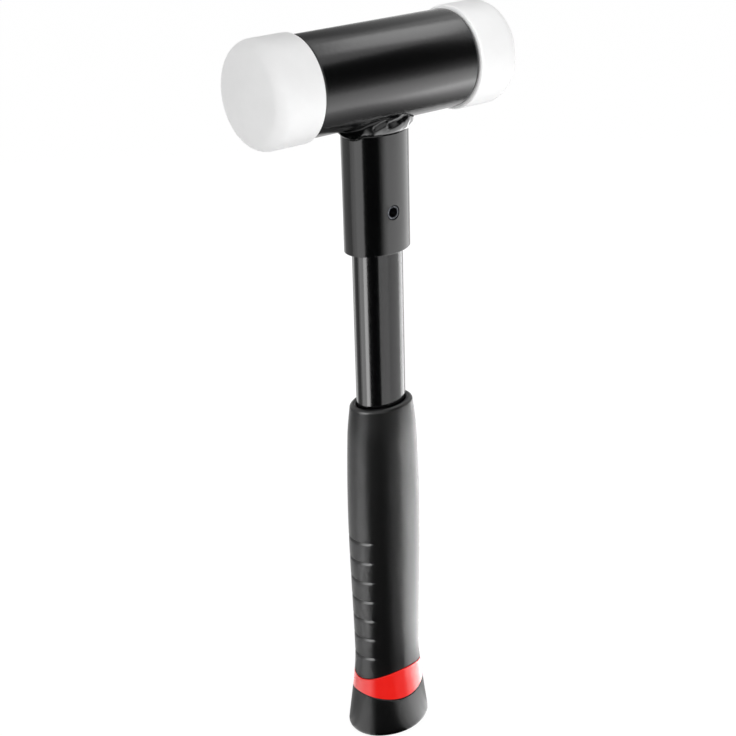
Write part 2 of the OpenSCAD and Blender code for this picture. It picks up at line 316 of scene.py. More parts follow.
def oval_point(over, t, height):
    """Point of a grown oval whose outward normal has the direction t."""
    half_w, half_d, edge_r, side_r = oval_radii(over)
    turn = math.atan2(side_r - half_d, half_w - edge_r)
    c, s = abs(math.cos(t)), abs(math.sin(t))
    if math.atan2(s, c) > turn:
        x, y = side_r * c, side_r * s - (side_r - half_d)
    else:
        x, y = half_w - edge_r + edge_r * c, edge_r * s
    return Vector((math.copysign(x, math.cos(t)), math.copysign(y, math.sin(t)), height))


def oval_ring(over, height):
    """A level ring of a grown oval."""
    return lambda t: oval_point(over, t, height)


def oval_depth(over, x):
    """Distance from the middle to a wide side at the width x."""
    _, half_d, _, side_r = oval_radii(over)
    return math.sqrt(side_r ** 2 - x ** 2) - (side_r - half_d)


def head_under(y):
    """Height of the head tube's underside over the line y."""
    return HEAD_H - math.sqrt(HEAD_R ** 2 - y ** 2)


# Colours and shader nodes

def linear(code):
    """An sRGB hex colour as linear red, green, blue and alpha."""
    shares = [int(code[place:place + 2], 16) / 255 for place in (1, 3, 5)]
    return [s / 12.92 if s <= 0.04045 else ((s + 0.055) / 1.055) ** 2.4 for s in shares] + [1]


def per_mm(size):
    """Texture scale at which one cell of a pattern is this many millimetres."""
    return 1 / (size * MM)


def add(tree, kind, links=None, values=None, **settings):
    """Adds a shader node with its settings, its socket values and its links."""
    made = tree.nodes.new(kind)
    for name, setting in settings.items():
        setattr(made, name, setting)
    for socket, value in (values or {}).items():
        made.inputs[socket].default_value = value
    for socket, source in (links or {}).items():
        tree.links.new(source, made.inputs[socket])
    return made


def new_finish(name):
    """An empty material, with its node tree and its object coordinates."""
    finish = bpy.data.materials.new(name)
    finish.use_nodes = True
    tree = finish.node_tree
    tree.nodes.clear()
    return finish, tree, add(tree, "ShaderNodeTexCoord").outputs["Object"]


def close_finish(tree, shader):
    """Links the shader to the material's output."""
    add(tree, "ShaderNodeOutputMaterial", {"Surface": shader.outputs[0]})


def black_stove_paint(name, smooth, dull):
    """Stove paint sprayed on steel: near black, with soft reflections on a faint orange peel."""
    finish, tree, place = new_finish(name)
    peel = add(tree, "ShaderNodeTexNoise", {"Vector": place}, {"Scale": per_mm(1.8), "Detail": 2})
    grain = add(tree, "ShaderNodeTexNoise", {"Vector": place}, {"Scale": per_mm(0.35), "Detail": 3})
    cloud = add(tree, "ShaderNodeTexNoise", {"Vector": place}, {"Scale": per_mm(14), "Detail": 3})
    colour = add(tree, "ShaderNodeMix", {"Factor": cloud.outputs["Fac"]},
                 {"A": linear("#020203"), "B": linear("#060707")}, data_type="RGBA")
    sheen = add(tree, "ShaderNodeMapRange", {"Value": grain.outputs["Fac"]},
                {"To Min": smooth, "To Max": dull})
    skin = add(tree, "ShaderNodeBump", {"Height": peel.outputs["Fac"]},
               {"Strength": 0.5, "Distance": 0.04 * MM})
    fine = add(tree, "ShaderNodeBump", {"Height": grain.outputs["Fac"], "Normal": skin.outputs["Normal"]},
               {"Strength": 0.3, "Distance": 0.006 * MM})
    close_finish(tree, add(tree, "ShaderNodeBsdfPrincipled", {
        "Base Color": colour.outputs["Result"], "Roughness": sheen.outputs["Result"],
        "Normal": fine.outputs["Normal"]}, {"IOR": 1.58}))
    return finish


def gloss_black_enamel():
    """Black enamel dipped on drawn tube: sharp bright lines, broken a little by draw marks along it."""
    finish, tree, place = new_finish("gloss_black_enamel_on_drawn_tube")
    along = add(tree, "ShaderNodeMapping", {"Vector": place},
                {"Scale": (per_mm(0.5), per_mm(0.5), per_mm(45))})
    marks = add(tree, "ShaderNodeTexNoise", {"Vector": along.outputs["Vector"]}, {"Scale": 1, "Detail": 3})
    specks = add(tree, "ShaderNodeTexNoise", {"Vector": place}, {"Scale": per_mm(2.5), "Detail": 4})
    colour = add(tree, "ShaderNodeMix", {"Factor": marks.outputs["Fac"]},
                 {"A": linear("#020203"), "B": linear("#070708")}, data_type="RGBA")
    sheen = add(tree, "ShaderNodeMapRange", {"Value": specks.outputs["Fac"]},
                {"To Min": 0.1, "To Max": 0.18})
    skin = add(tree, "ShaderNodeBump", {"Height": marks.outputs["Fac"]},
               {"Strength": 0.25, "Distance": 0.008 * MM})
    close_finish(tree, add(tree, "ShaderNodeBsdfPrincipled", {
        "Base Color": colour.outputs["Result"], "Roughness": sheen.outputs["Result"],
        "Normal": skin.outputs["Normal"]}, {"IOR": 1.5}))
    return finish


def white_nylon():
    """Cast nylon, turned to shape: milky white with light in its depth and faint rings from the lathe."""
    finish, tree, place = new_finish("turned_white_nylon")
    centred = add(tree, "ShaderNodeMapping", {"Vector": place}, {"Location": (0, 0, -HEAD_H * MM)})
    rings = add(tree, "ShaderNodeTexWave", {"Vector": centred.outputs["Vector"]},
                {"Scale": per_mm(12), "Distortion": 0.4, "Detail": 2},
                wave_type="RINGS", rings_direction="X")
    cloud = add(tree, "ShaderNodeTexNoise", {"Vector": place}, {"Scale": per_mm(9), "Detail": 4})
    scuff = add(tree, "ShaderNodeTexNoise", {"Vector": place}, {"Scale": per_mm(0.7), "Detail": 4})
    colour = add(tree, "ShaderNodeMix", {"Factor": cloud.outputs["Fac"]},
                 {"A": linear("#EAEAEA"), "B": linear("#F3F3F3")}, data_type="RGBA")
    sheen = add(tree, "ShaderNodeMapRange", {"Value": scuff.outputs["Fac"]},
                {"To Min": 0.42, "To Max": 0.58})
    skin = add(tree, "ShaderNodeBump", {"Height": rings.outputs["Fac"]},
               {"Strength": 0.15, "Distance": 0.01 * MM})
    close_finish(tree, add(tree, "ShaderNodeBsdfPrincipled", {
        "Base Color": colour.outputs["Result"], "Roughness": sheen.outputs["Result"],
        "Normal": skin.outputs["Normal"]},
        {"IOR": 1.53, "Subsurface Weight": 0.25, "Subsurface Radius": (1, 1, 1),
         "Subsurface Scale": 1.5 * MM}))
    return finish


def bare_steel(name, cell, detail, colours, smooth, dull):
    """Bare steel: a grey mirror, stained and dulled in fine patches."""
    finish, tree, place = new_finish(name)
    patches = add(tree, "ShaderNodeTexNoise", {"Vector": place}, {"Scale": per_mm(cell), "Detail": detail})
    colour = add(tree, "ShaderNodeMix", {"Factor": patches.outputs["Fac"]},
                 {"A": linear(colours[0]), "B": linear(colours[1])}, data_type="RGBA")
    sheen = add(tree, "ShaderNodeMapRange", {"Value": patches.outputs["Fac"]},
                {"To Min": smooth, "To Max": dull})
    close_finish(tree, add(tree, "ShaderNodeBsdfPrincipled", {
        "Base Color": colour.outputs["Result"], "Roughness": sheen.outputs["Result"]}, {"Metallic": 1}))
    return finish


def red_plastic():
    """Red polypropylene, moulded in a finely etched tool: full colour under a satin skin."""
    finish, tree, place = new_finish("moulded_red_polypropylene")
    etch = add(tree, "ShaderNodeTexNoise", {"Vector": place}, {"Scale": per_mm(0.3), "Detail": 3})
    flow = add(tree, "ShaderNodeTexNoise", {"Vector": place}, {"Scale": per_mm(6), "Detail": 2})
    colour = add(tree, "ShaderNodeMix", {"Factor": flow.outputs["Fac"]},
                 {"A": linear("#F4140A"), "B": linear("#FB1A0F")}, data_type="RGBA")
    sheen = add(tree, "ShaderNodeMapRange", {"Value": etch.outputs["Fac"]},
                {"To Min": 0.2, "To Max": 0.28})
    skin = add(tree, "ShaderNodeBump", {"Height": etch.outputs["Fac"]},
               {"Strength": 0.3, "Distance": 0.015 * MM})
    close_finish(tree, add(tree, "ShaderNodeBsdfPrincipled", {
        "Base Color": colour.outputs["Result"], "Roughness": sheen.outputs["Result"],
        "Normal": skin.outputs["Normal"]}, {"IOR": 1.49}))
    return finish


def black_rubber():
    """Thermoplastic rubber, moulded in a spark-eroded tool: matt black with a fine even grain."""
    finish, tree, place = new_finish("moulded_black_rubber")
    grain = add(tree, "ShaderNodeTexNoise", {"Vector": place}, {"Scale": per_mm(0.45), "Detail": 3})
    bloom = add(tree, "ShaderNodeTexNoise", {"Vector": place}, {"Scale": per_mm(11), "Detail": 4})
    colour = add(tree, "ShaderNodeMix", {"Factor": bloom.outputs["Fac"]},
                 {"A": linear("#040404"), "B": linear("#09090A")}, data_type="RGBA")
    sheen = add(tree, "ShaderNodeMapRange", {"Value": grain.outputs["Fac"]},
                {"To Min": 0.29, "To Max": 0.37})
    skin = add(tree, "ShaderNodeBump", {"Height": grain.outputs["Fac"]},
               {"Strength": 0.15, "Distance": 0.012 * MM})
    close_finish(tree, add(tree, "ShaderNodeBsdfPrincipled", {
        "Base Color": colour.outputs["Result"], "Roughness": sheen.outputs["Result"],
        "Normal": skin.outputs["Normal"]}, {"IOR": 1.5}))
    return finish


PAINT = black_stove_paint("satin_black_stove_paint", smooth=0.17, dull=0.27)
THIN_PAINT = black_stove_paint("semi_gloss_black_stove_paint", smooth=0.12, dull=0.19)
ENAMEL = gloss_black_enamel()
NYLON = white_nylon()
STEEL = bare_steel("bare_bright_steel", cell=0.6, detail=5, colours=("#A9ABAD", "#C6C8CA"),
                   smooth=0.18, dull=0.36)
SPRING_STEEL = bare_steel("hardened_spring_steel", cell=0.8, detail=4, colours=("#3E4043", "#64666A"),
                          smooth=0.25, dull=0.45)
RED = red_plastic()
RUBBER = black_rubber()


# Head and striking faces

def painted_head_tube():
    """The head's tube with rounded ends, a seat at both ends and the shot's chamber between them."""
    bm = bmesh.new()
    chamber_r = SEAT_R - SEAT_STEP
    first = bm.verts.new((SEAT_R, 0, -HEAD_END))
    tip = line_to(bm, first, HEAD_R - HEAD_EDGE_R, -HEAD_END)
    tip = arc_to(bm, tip, (HEAD_R - HEAD_EDGE_R, HEAD_EDGE_R - HEAD_END), -QUARTER, ARC_STEPS)
    tip = line_to(bm, tip, HEAD_R, HEAD_END - HEAD_EDGE_R)
    tip = arc_to(bm, tip, (HEAD_R - HEAD_EDGE_R, HEAD_END - HEAD_EDGE_R), -QUARTER, ARC_STEPS)
    tip = line_to(bm, tip, SEAT_R, HEAD_END)
    for across, along in ((SEAT_R, PLUG_FLOOR), (chamber_r, PLUG_FLOOR), (chamber_r, -PLUG_FLOOR),
                          (SEAT_R, -PLUG_FLOOR)):
        tip = line_to(bm, tip, across, along)
    bm.edges.new((tip, first))
    turn_profile(bm, TURNED_STEPS)
    lay_along_head(bm, 1)
    return make_piece("painted_head_tube", bm, ["head_tube"], PAINT)


def nylon_face(side_name, side):
    """A striking face: domed front, round edge, straight side and the shank pressed into the head."""
    bm = bmesh.new()
    dome = FACE_TIP - FACE_CROWN_R
    edge_x = FACE_R - FACE_EDGE_R
    edge_z = dome + math.sqrt((FACE_CROWN_R - FACE_EDGE_R) ** 2 - edge_x ** 2)
    dome_angle = math.atan2(edge_x, edge_z - dome)
    back = HEAD_END + FACE_BACK_CHAMFER
    tip = bm.verts.new((0, 0, FACE_TIP))
    tip = arc_to(bm, tip, (0, dome), dome_angle, 4 * ARC_STEPS)
    tip = arc_to(bm, tip, (edge_x, edge_z), QUARTER - dome_angle, 2 * ARC_STEPS)
    tip = line_to(bm, tip, FACE_R, back)
    tip = arc_to(bm, tip, (FACE_R - FACE_BACK_CHAMFER, back), QUARTER, ARC_STEPS)
    tip = line_to(bm, tip, SEAT_R - FIT, HEAD_END)
    tip = line_to(bm, tip, SEAT_R - FIT, SHANK_END)
    line_to(bm, tip, 0, SHANK_END)
    turn_profile(bm, TURNED_STEPS)
    lay_along_head(bm, side)
    return make_piece(side_name + "_nylon_face", bm, [side_name + "_striking_face"], NYLON)


def pressed_plug(side_name, side):
    """A cup pressed from sheet, with round corners, that closes the shot's chamber."""
    bm = bmesh.new()
    inner_r = PLUG_BEND_R - PLUG_SHEET
    bend = PLUG_R - PLUG_BEND_R
    bend_z = PLUG_FLOOR + PLUG_BEND_R
    tip = bm.verts.new((0, 0, PLUG_FLOOR))
    tip = line_to(bm, tip, bend, PLUG_FLOOR)
    tip = arc_to(bm, tip, (bend, bend_z), -QUARTER, ARC_STEPS)
    tip = line_to(bm, tip, PLUG_R, PLUG_MOUTH)
    tip = line_to(bm, tip, PLUG_R - PLUG_SHEET, PLUG_MOUTH)
    tip = line_to(bm, tip, bend + inner_r, bend_z)
    tip = arc_to(bm, tip, (bend, bend_z), QUARTER, ARC_STEPS)
    line_to(bm, tip, 0, PLUG_FLOOR + PLUG_SHEET)
    turn_profile(bm, TURNED_STEPS // 2)
    lay_along_head(bm, side)
    make_piece(side_name + "_pressed_plug", bm, [side_name + "_chamber_plug"], STEEL)


def loose_shot():
    """The charge of balls on the chamber's floor, in staggered rows, one slice behind the other."""
    bm = bmesh.new()
    pitch = SHOT_D + SHOT_GAP
    row_h = pitch * math.sqrt(3) / 2
    chamber_r = SEAT_R - SEAT_STEP
    reach = chamber_r - SHOT_D / 2 - SHOT_ROOM
    top = (2 * SHOT_FILL - 1) * chamber_r - SHOT_D / 2
    slices = round((shot_high.x - shot_low.x - SHOT_D) / pitch) + 1
    most = math.ceil(2 * chamber_r / pitch)
    for row in range(int((top + reach) / row_h) + 1):
        z = row * row_h - reach
        for column in range(-most, most + 1):
            y = (column + row % 2 / 2) * pitch
            if math.hypot(y, z) <= reach + ROUND_OFF:
                place = Matrix.Translation((shot_low.x + SHOT_D / 2, y, HEAD_H + z))
                bmesh.ops.create_uvsphere(bm, u_segments=BALL_SEGMENTS, v_segments=BALL_RINGS,
                                          radius=SHOT_D / 2, matrix=place)
    first_slice = list(bm.verts) + list(bm.edges) + list(bm.faces)
    bmesh.ops.spin(bm, geom=first_slice, dvec=(pitch, 0, 0), axis=(1, 0, 0), angle=0, steps=slices - 1,
                   use_duplicate=True)
    make_piece("loose_steel_shot", bm, ["steel_shot"], STEEL, body="shot")


# Socket, handle tube and pin

def pin_hole_rim(bm, over, side):
    """Opens a round hole for the pin in a wide side's wall; returns the edges of its rim."""
    direction = bm.verts.layers.float["direction"]
    half_cell = FULL_TURN / OVAL_STEPS / 2
    reach = (2 * HOLE_CELLS + 1) * half_cell
    wide = oval_radii(over)[1]

    def in_block(corner):
        return (abs(corner[direction] - side * QUARTER) < reach
                and abs(corner.co.z - PIN_Z) < PIN_R * HOLE_SEARCH
                and abs(abs(corner.co.y) - wide) < TUBE_WALL / 2)

    block = [face for face in bm.faces if all(in_block(corner) for corner in face.verts)]
    plate = bmesh.ops.dissolve_faces(bm, faces=block)["region"][0]
    bmesh.ops.inset_individual(bm, faces=[plate], thickness=FIT)
    for corner in plate.verts:
        angle = math.atan2(corner.co.z - PIN_Z, corner.co.x)
        x = PIN_R * math.cos(angle)
        corner.co = (x, side * oval_depth(over, x), PIN_Z + PIN_R * math.sin(angle))
    rim = list(plate.edges)
    bmesh.ops.delete(bm, geom=[plate], context="FACES_ONLY")
    return rim


def oval_pipe(bm, over, wall, low, top, edge_r):
    """An oval pipe with a round lower edge and a cross hole for the pin; top gives its upper end."""
    inner = over - wall
    rows = [PIN_Z + PIN_R * HOLE_BLOCK * step / HOLE_CELLS for step in range(-HOLE_CELLS, HOLE_CELLS + 1)]

    def lower_edge(u):
        return oval_ring(over - edge_r * (1 - math.sin(u)), low + edge_r * (1 - math.cos(u)))

    def upper(grow):
        return lambda t: oval_point(grow, t, top(oval_point(grow, t, 0).y))

    rings = [lower_edge(u) for u in steps_between(0, QUARTER, ARC_STEPS)]
    rings += [oval_ring(over, height) for height in rows]
    rings += [upper(over), upper(inner)]
    rings += [oval_ring(inner, height) for height in reversed(rows)]
    rings += [oval_ring(inner, low)]
    loft_closed(bm, OVAL_STEPS, rings)
    for side in (-1, 1):
        outside = pin_hole_rim(bm, over, side)
        inside = pin_hole_rim(bm, inner, side)
        bmesh.ops.bridge_loops(bm, edges=outside + inside)


def coped_socket():
    """The socket under the head, coped to the head tube and drilled for the pin."""
    bm = bmesh.new()
    oval_pipe(bm, SOCKET_OVER, SOCKET_OVER - FIT, SOCKET_LOW, head_under, SOCKET_EDGE_R)
    return make_piece("coped_socket", bm, ["handle_socket"], THIN_PAINT)


def enamelled_tube():
    """The oval tube of the handle, from the grip's core up into the socket."""
    bm = bmesh.new()
    oval_pipe(bm, 0, TUBE_WALL, TUBE_LOW, lambda y: TUBE_TOP, TUBE_END_R)
    return make_piece("enamelled_handle_tube", bm, ["handle_tube"], ENAMEL)


def spring_pin():
    """The roll pin: sheet rolled to a pin with a bore, a slit and chamfered ends."""
    bm = bmesh.new()
    outer = PIN_R - FIT
    bore = PIN_R - PIN_WALL
    gap = 2 * math.asin(PIN_SLIT / 2 / outer)
    outline = [(bore, -PIN_END), (outer - PIN_CHAMFER, -PIN_END), (outer, PIN_CHAMFER - PIN_END),
               (outer, PIN_END - PIN_CHAMFER), (outer - PIN_CHAMFER, PIN_END), (bore, PIN_END)]
    sheet = bm.faces.new([bm.verts.new((across, 0, along)) for across, along in outline])
    bmesh.ops.rotate(bm, verts=bm.verts, matrix=Matrix.Rotation(QUARTER + gap / 2, 3, "Z"))
    bmesh.ops.spin(bm, geom=[sheet, *sheet.edges, *sheet.verts], cent=(0, 0, 0), axis=(0, 0, 1),
                   angle=FULL_TURN - gap, steps=PIN_STEPS)
    placed = Matrix.Translation((0, 0, PIN_Z)) @ Matrix.Rotation(QUARTER, 4, "X")
    bmesh.ops.transform(bm, matrix=placed, verts=bm.verts)
    return make_piece("rolled_spring_pin", bm, ["roll_pin"], SPRING_STEEL)


# Weld

def bead_foot(t):
    """Height of the bead's foot in direction t, with a sag of run-down metal on each narrow edge."""
    away = min(abs(math.remainder(t - place, FULL_TURN)) for place in SAG_PLACES)
    run = away * (TUBE_EDGE_R + SOCKET_OVER) / SAG_REACH
    return HEAD_H - HEAD_R - WELD_DROP - WELD_SAG * max(0, 1 - run ** 2) ** SAG_FULLNESS


def weld_chord(t):
    """Place of the socket's wall in direction t, and the straight line from the bead's foot to the head."""
    wall = oval_point(SOCKET_OVER + WELD_ROOM, t, 0)
    reach = wall + WELD_SPREAD * Vector((math.cos(t), math.sin(t), 0))
    return wall, Vector((WELD_SPREAD, head_under(reach.y) - WELD_ROOM - bead_foot(t)))


def bead_place(t, share):
    """Place on the bead as laid out along the socket's wall, for its lumps and creases."""
    wall, chord = weld_chord(t)
    return wall + Vector((0, 0, share * chord.length))


def weld_point(t, share):
    """Point of the bead's skin in direction t, from its foot on the socket (0) to the head (1)."""
    wall, chord = weld_chord(t)
    place = bead_place(t, share)
    lumps = LUMP_SHARE * noise.noise(place / LUMP_SIZE) + PIMPLE_SHARE * noise.noise(place / PIMPLE_SIZE)
    bulge = WELD_BULGE * (1 + lumps)
    for start, low, end, high, width, depth in WELD_CREASES:
        first, last = bead_place(math.radians(start), low), bead_place(math.radians(end), high)
        along = geometry.intersect_point_line(place, first, last)[1]
        nearest = first.lerp(last, max(0, min(1, along)))
        bulge -= depth * math.exp(-(place - nearest).length_squared / width ** 2)
    square = Vector((chord.y, -chord.x)).normalized()
    spot = share * chord + math.sin(math.pi * share) ** WELD_FULLNESS * bulge * square
    return Vector((wall.x + spot.x * math.cos(t), wall.y + spot.x * math.sin(t), bead_foot(t) + spot.y))


def weld_bead():
    """The fillet weld that follows the saddle between socket and head, creased and lumpy."""
    bm = bmesh.new()

    def skin(share):
        return lambda t: weld_point(t, share)

    def toe(drop, lift):
        return lambda t: oval_point(SOCKET_OVER + WELD_ROOM + lift, t, bead_foot(t) - drop)

    def root(t):
        wall = oval_point(SOCKET_OVER + WELD_ROOM, t, 0)
        return Vector((wall.x, wall.y, head_under(wall.y) - WELD_ROOM))

    rings = [toe(TOE_H, 0), toe(TOE_H, TOE_LIFT), toe(TOE_TOP, TOE_LIFT)]
    rings += [skin(share) for share in steps_between(0, 1, BEAD_STEPS)] + [root]
    loft_closed(bm, WELD_STEPS, rings)
    return make_piece("painted_weld_bead", bm, ["socket_weld"], PAINT, crease=60)


# Moulded grip

def grip_over(h):
    """Thickness of the grip over the tube at height h, on a smooth curve through its keys."""
    last = len(GRIP_KEYS) - 1
    i = max(j for j in range(last) if h >= GRIP_KEYS[j][0] or j == 0)

    def slope(j):
        low, high = GRIP_KEYS[max(j - 1, 0)], GRIP_KEYS[min(j + 1, last)]
        return (high[1] - low[1]) / (high[0] - low[0])

    (low_h, low_over), (high_h, high_over) = GRIP_KEYS[i], GRIP_KEYS[i + 1]
    span = high_h - low_h
    s = (h - low_h) / span
    rise = s * s * (3 - 2 * s)
    leave, arrive = s * (1 - s) ** 2, s * s * (s - 1)
    return low_over + rise * (high_over - low_over) + span * (leave * slope(i) + arrive * slope(i + 1))


def skin_point(h, t, depth=0):
    """Point on the grip's skin, drawn in by a depth."""
    return oval_point(grip_over(h) - depth, t, h)


def band_line(t, side):
    """Height of the band's upper (1) or lower (-1) line in direction t."""
    share = (skin_point(BAND_H, t).y / skin_point(BAND_H, QUARTER).y) ** 2
    return BAND_H + side * (BAND_EDGE + (BAND_SIDE - BAND_EDGE) * share) / 2


def groove_ring(side, u):
    """A ring of the rubber's round edge along the band's upper (1) or lower (-1) line."""
    def ring(t):
        height = band_line(t, side) + side * (FIT + BAND_GROOVE * (1 - math.sin(u)))
        return skin_point(height, t, BAND_GROOVE * (1 - math.cos(u)))

    return ring


def notch_profile(d):
    """Share of a notch's depth at d over its line: steep above the line, and fading out below it."""
    if d > 0:
        return max(0, 1 - d / NOTCH_UPPER)
    return max(0, 1 + d / NOTCH_LOWER) ** NOTCH_FADE


def notch_cut(h):
    """Depth of the notches at height h, with their corners rounded by an average."""
    deepest = 0
    for number in range(NOTCH_COUNT):
        line = NOTCH_LOW + number * NOTCH_PITCH
        cuts = [notch_profile(h + shift - line) for shift in NOTCH_ROUNDING]
        deepest = max(deepest, sum(cuts) / len(cuts))
    return NOTCH_DEPTH * deepest


def notch_share(t):
    """Share of a notch's depth in direction t: full on the narrow edges, none on the wide sides."""
    away = math.atan2(abs(math.sin(t)), abs(math.cos(t)))
    s = max(0, min(1, (NOTCH_END - away) / (NOTCH_END - NOTCH_FULL)))
    return s * s * (3 - 2 * s)


def side_heights(low, high):
    """Heights of the sleeve's rings: close together at the notches, wider apart elsewhere."""
    heights = []
    h = low
    while h < high:
        heights.append(h)
        over_lines = [h - NOTCH_LOW - number * NOTCH_PITCH for number in range(NOTCH_COUNT)]
        near = any(-NOTCH_LOWER - CLOSE_BELOW < d < NOTCH_UPPER + CLOSE_ABOVE for d in over_lines)
        h += CLOSE_RINGS if near else WIDE_RINGS
    return heights + [high]


def rubber_sleeve():
    """The rubber sleeve from the band to the rim, with finger notches on both narrow edges."""
    bm = bmesh.new()
    low = NOTCH_LOW - NOTCH_PITCH / 2
    arcs = steps_between(0, QUARTER, ARC_STEPS)

    def mouth(u):
        return oval_ring(FIT + MOUTH_R * (1 - math.cos(u)), GRIP_TOP - MOUTH_R * (1 - math.sin(u)))

    def lip(u):
        return lambda t: skin_point(GRIP_TOP - RIM_R + RIM_R * math.sin(u), t, RIM_R * (1 - math.cos(u)))

    def notched(height):
        cut = notch_cut(height)
        return lambda t: skin_point(height, t, cut * notch_share(t))

    def easing(share):
        return lambda t: skin_point(low + share * (band_line(t, 1) + FIT + BAND_GROOVE - low), t)

    rings = [lambda t: oval_point(CORE_OVER + FIT, t, band_line(t, 1) + FIT)]
    rings += [oval_ring(CORE_OVER + FIT, CORE_TOP + FIT), oval_ring(FIT, CORE_TOP + FIT)]
    rings += [mouth(u) for u in arcs]
    rings += [lip(u) for u in reversed(arcs)]
    rings += [notched(height) for height in reversed(side_heights(low, GRIP_TOP - RIM_R - RIM_START))]
    rings += [easing(share) for share in steps_between(EASING_START, 1, EASING_STEPS)]
    rings += [groove_ring(1, u) for u in arcs[1:]]
    loft_closed(bm, GRIP_STEPS, rings)
    return make_piece("rubber_grip_sleeve", bm, ["grip_sleeve"], RUBBER, crease=50)


def red_core():
    """The red core on the tube, closed below, with the band that shows between the rubber parts."""
    bm = bmesh.new()
    edge = BAND_GROOVE / 2
    arcs = steps_between(0, QUARTER, ARC_STEPS)

    def under_band(side):
        return lambda t: oval_point(CORE_OVER, t, band_line(t, side))

    def band_corner(side, u):
        return lambda t: skin_point(band_line(t, side) - side * edge * (1 - math.sin(u)), t,
                                    edge * (1 - math.cos(u)))

    def band(share):
        def ring(t):
            low, high = band_line(t, -1) + edge, band_line(t, 1) - edge
            return skin_point(low + share * (high - low), t)

        return ring

    rings = [oval_ring(CORE_OVER, CORE_LOW), under_band(-1)]
    rings += [band_corner(-1, u) for u in reversed(arcs)]
    rings += [band(share) for share in steps_between(BAND_START, 1 - BAND_START, BAND_STEPS)]
    rings += [band_corner(1, u) for u in arcs]
    rings += [under_band(1), oval_ring(CORE_OVER, CORE_TOP)]
    rings += [oval_ring(FIT, CORE_TOP), oval_ring(FIT, TUBE_LOW)]
    loft_capped(bm, GRIP_STEPS, rings)
    return make_piece("red_grip_core", bm, ["grip_core"], RED, crease=50)


def rubber_butt():
    """The flared rubber end of the grip under the band, with a flat foot."""
    bm = bmesh.new()
    arcs = steps_between(0, QUARTER, ARC_STEPS)

    def corner(u):
        return lambda t: skin_point(BUTT_EDGE_R * (1 - math.sin(u)), t, BUTT_EDGE_R * (1 - math.cos(u)))

    def flare(share):
        return lambda t: skin_point(
            BUTT_EDGE_R + share * (band_line(t, -1) - FIT - BAND_GROOVE - BUTT_EDGE_R), t)

    rings = [corner(u) for u in reversed(arcs)]
    rings += [flare(share) for share in steps_between(FLARE_START, 1, FLARE_STEPS)]
    rings += [groove_ring(-1, u) for u in arcs[1:]]
    rings += [lambda t: oval_point(CORE_OVER + FIT, t, band_line(t, -1) - FIT)]
    rings += [oval_ring(CORE_OVER + FIT, CORE_LOW)]
    loft_capped(bm, GRIP_STEPS, rings)
    return make_piece("rubber_grip_butt", bm, ["grip_butt"], RUBBER, crease=50)


head = painted_head_tube()
faces = []
for side_name, side in (("left", -1), ("right", 1)):
    faces.append(nylon_face(side_name, side))
    pressed_plug(side_name, side)
loose_shot()
socket = coped_socket()
weld = weld_bead()
pin = spring_pin()
tube = enamelled_tube()
sleeve = rubber_sleeve()
core = red_core()
butt = rubber_butt()


# Studio: surroundings, floor and lamps

# Levels: the surroundings where they light the object, and the floor paper's glow with its share
FILL_LEVEL = 0.5
PAPER_GLOW = 1.085
PAPER_GLOW_SHARE = 0.86

# Where the lamps point
HEAD_MIDDLE = (0, 0, HEAD_H * MM)
SOCKET_MIDDLE = (0, 0, 0.25)
OVER_HEAD = (0, 0.02, 0.45)

# Soft lamps: place, aim, width, height and radiance
TOP_LAMP = ("top_softbox", (0.377, -0.02, 0.752), HEAD_MIDDLE, 0.3, 0.22, 2.05)
ROOM_LAMPS = [
    ("front_low_softbox", (0, -0.8, 0.3), SOCKET_MIDDLE, 0.4, 0.3, 5.0),
    ("front_high_softbox", (-0.25, -0.8, 0.75), HEAD_MIDDLE, 0.5, 0.4, 2.0),
    ("left_softbox", (-0.45, 0.02, 0.45), OVER_HEAD, 0.3, 0.3, 1.5),
    ("back_softbox", (0.55, 0.75, 0.3), SOCKET_MIDDLE, 0.5, 0.4, 4.5)]
RIGHT_FACE_LAMPS = [
    ("ring_softbox", (-0.45, -0.1, 0.45), HEAD_MIDDLE, 0.3, 0.3, 2.8),
    ("low_ring_softbox", (-0.62, -0.09, 0.2), HEAD_MIDDLE, 0.3, 0.3, 3.0)]


def seen_directly(tree):
    """One for camera, glossy and transmission rays, and zero for the rays that light the object."""
    path = add(tree, "ShaderNodeLightPath").outputs
    either = add(tree, "ShaderNodeMath", {0: path["Is Camera Ray"], 1: path["Is Glossy Ray"]},
                 operation="MAXIMUM")
    return add(tree, "ShaderNodeMath", {0: either.outputs[0], 1: path["Is Transmission Ray"]},
               operation="MAXIMUM").outputs[0]


def light_world():
    """White surroundings where they are seen, and a soft fill where they light the object."""
    world = bpy.data.worlds.new("white_studio")
    bpy.context.scene.world = world
    world.use_nodes = True
    tree = world.node_tree
    tree.nodes.clear()
    colour = add(tree, "ShaderNodeMix", {"Factor": seen_directly(tree)},
                 {"A": [FILL_LEVEL, FILL_LEVEL, FILL_LEVEL, 1], "B": linear("#FFFFFF")}, data_type="RGBA")
    sky = add(tree, "ShaderNodeBackground", {"Color": colour.outputs["Result"]}, {"Strength": 1.0})
    add(tree, "ShaderNodeOutputWorld", {"Surface": sky.outputs[0]})


def stage_sheet(name, corners, finish):
    """A flat sheet of the stage, from corners in metres."""
    bm = bmesh.new()
    bm.faces.new([bm.verts.new(corner) for corner in corners])
    mesh = bpy.data.meshes.new(name)
    bm.to_mesh(mesh)
    bm.free()
    mesh.materials.append(finish)
    sheet = bpy.data.objects.new(name, mesh)
    bpy.context.scene.collection.objects.link(sheet)
    return sheet


